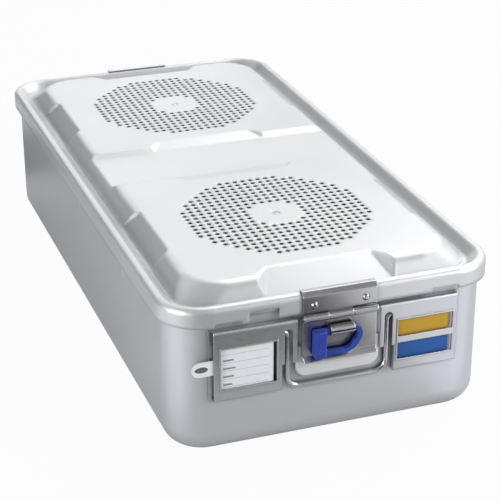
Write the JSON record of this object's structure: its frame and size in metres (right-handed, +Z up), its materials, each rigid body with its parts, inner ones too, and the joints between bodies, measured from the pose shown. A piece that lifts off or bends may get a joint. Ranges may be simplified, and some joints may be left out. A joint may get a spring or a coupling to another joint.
{
  "type": "sterilization container",
  "caption": "Full-size aluminium sterilization container with a vented filter lid, end latches, wire handles, a label card, colour tags and a security seal.",
  "frame": {"origin": "middle of the tub's flat bottom, on the surface it stands on", "axes": "+Z up, +Y along the length towards the back end, +X across the width; the front end with the label and the seal faces -Y"},
  "size_m": [0.288, 0.6089, 0.1415],
  "materials": {
    "tub_aluminium": "satin anodised",
    "lid_aluminium": "satin anodised",
    "gasket_rubber": "matte silicone",
    "latch_steel": "brushed",
    "catch_steel": "satin pressed",
    "holder_steel": "brushed",
    "rivet_steel": "polished",
    "handle_wire": "drawn wire",
    "card_plastic": "printed white",
    "gold_anodised": "gold anodised",
    "blue_anodised": "blue anodised",
    "seal_plastic": "moulded",
    "filter_paper": "dark fleece",
    "retainer_aluminium": "satin anodised",
    "knob_plastic": "moulded"
  },
  "bodies": {
    "base": {"base_tub": "tub_aluminium", "front_catch_plate": "catch_steel", "front_catch_rivets": "rivet_steel", "back_catch_plate": "catch_steel", "back_catch_rivets": "rivet_steel", "label_frame": "holder_steel", "label_frame_rivets": "rivet_steel", "tag_frame": "holder_steel", "tag_frame_rivets": "rivet_steel", "back_left_bracket": "holder_steel", "back_left_bracket_rivets": "rivet_steel", "back_right_bracket": "holder_steel", "back_right_bracket_rivets": "rivet_steel"},
    "lid_body": {"lid": "lid_aluminium", "lid_gasket": "gasket_rubber", "front_latch_leaf": "latch_steel", "front_leaf_rivets": "rivet_steel", "front_hinge_pin": "rivet_steel", "front_filter_stud": "rivet_steel", "back_latch_leaf": "latch_steel", "back_leaf_rivets": "rivet_steel", "back_hinge_pin": "rivet_steel", "back_filter_stud": "rivet_steel"},
    "front_flap": {"front_latch_flap": "latch_steel"},
    "back_flap": {"back_latch_flap": "latch_steel"},
    "front_bail": {"front_handle": "handle_wire"},
    "back_bail": {"back_handle": "handle_wire"},
    "card": {"label_card": "card_plastic"},
    "upper_tag": {"gold_tag": "gold_anodised"},
    "lower_tag": {"blue_tag": "blue_anodised"},
    "seal": {"security_seal": "seal_plastic"},
    "front_filter": {"front_filter_retainer": "retainer_aluminium", "front_retainer_seal": "gasket_rubber", "front_filter_sheet": "filter_paper"},
    "front_knob": {"front_retainer_knob": "knob_plastic"},
    "back_filter": {"back_filter_retainer": "retainer_aluminium", "back_retainer_seal": "gasket_rubber", "back_filter_sheet": "filter_paper"},
    "back_knob": {"back_retainer_knob": "knob_plastic"}
  },
  "joints": [
    {"name": "lid_lift", "type": "slide", "parent": "base", "child": "lid_body", "axis": [0, 0, 1], "range_m": [0, 0.2]},
    {"name": "label_card_slide", "type": "slide", "parent": "base", "child": "card", "axis": [-1, 0, 0], "range_m": [0, 0.06]},
    {"name": "gold_tag_slide", "type": "slide", "parent": "base", "child": "upper_tag", "axis": [1, 0, 0], "range_m": [0, 0.05]},
    {"name": "blue_tag_slide", "type": "slide", "parent": "base", "child": "lower_tag", "axis": [1, 0, 0], "range_m": [0, 0.05]},
    {"name": "front_flap_hinge", "type": "hinge", "parent": "lid_body", "child": "front_flap", "pos_m": [0, -0.2971, 0.115], "axis": [-1, 0, 0], "range_deg": [0, 120]},
    {"name": "front_handle_swing", "type": "hinge", "parent": "base", "child": "front_bail", "pos_m": [0, -0.291, 0.1035], "axis": [-1, 0, 0], "range_deg": [0, 90]},
    {"name": "front_filter_slide", "type": "slide", "parent": "lid_body", "child": "front_filter", "axis": [0, 0, -1], "range_m": [0, 0.06]},
    {"name": "front_knob_turn", "type": "hinge", "parent": "front_filter", "child": "front_knob", "pos_m": [0, -0.1484, 0.131], "axis": [0, 0, 1], "range_deg": [0, 90]},
    {"name": "back_flap_hinge", "type": "hinge", "parent": "lid_body", "child": "back_flap", "pos_m": [0, 0.2971, 0.115], "axis": [1, 0, 0], "range_deg": [0, 120]},
    {"name": "back_handle_swing", "type": "hinge", "parent": "base", "child": "back_bail", "pos_m": [0, 0.291, 0.1035], "axis": [1, 0, 0], "range_deg": [0, 90]},
    {"name": "back_filter_slide", "type": "slide", "parent": "lid_body", "child": "back_filter", "axis": [0, 0, -1], "range_m": [0, 0.06]},
    {"name": "back_knob_turn", "type": "hinge", "parent": "back_filter", "child": "back_knob", "pos_m": [0, 0.1484, 0.131], "axis": [0, 0, 1], "range_deg": [0, 90]},
    {"name": "seal_swing", "type": "hinge", "parent": "front_flap", "child": "seal", "pos_m": [0, -0.2994, 0.1027], "axis": [-1, 0, 0], "range_deg": [0, 60]}
  ]
}
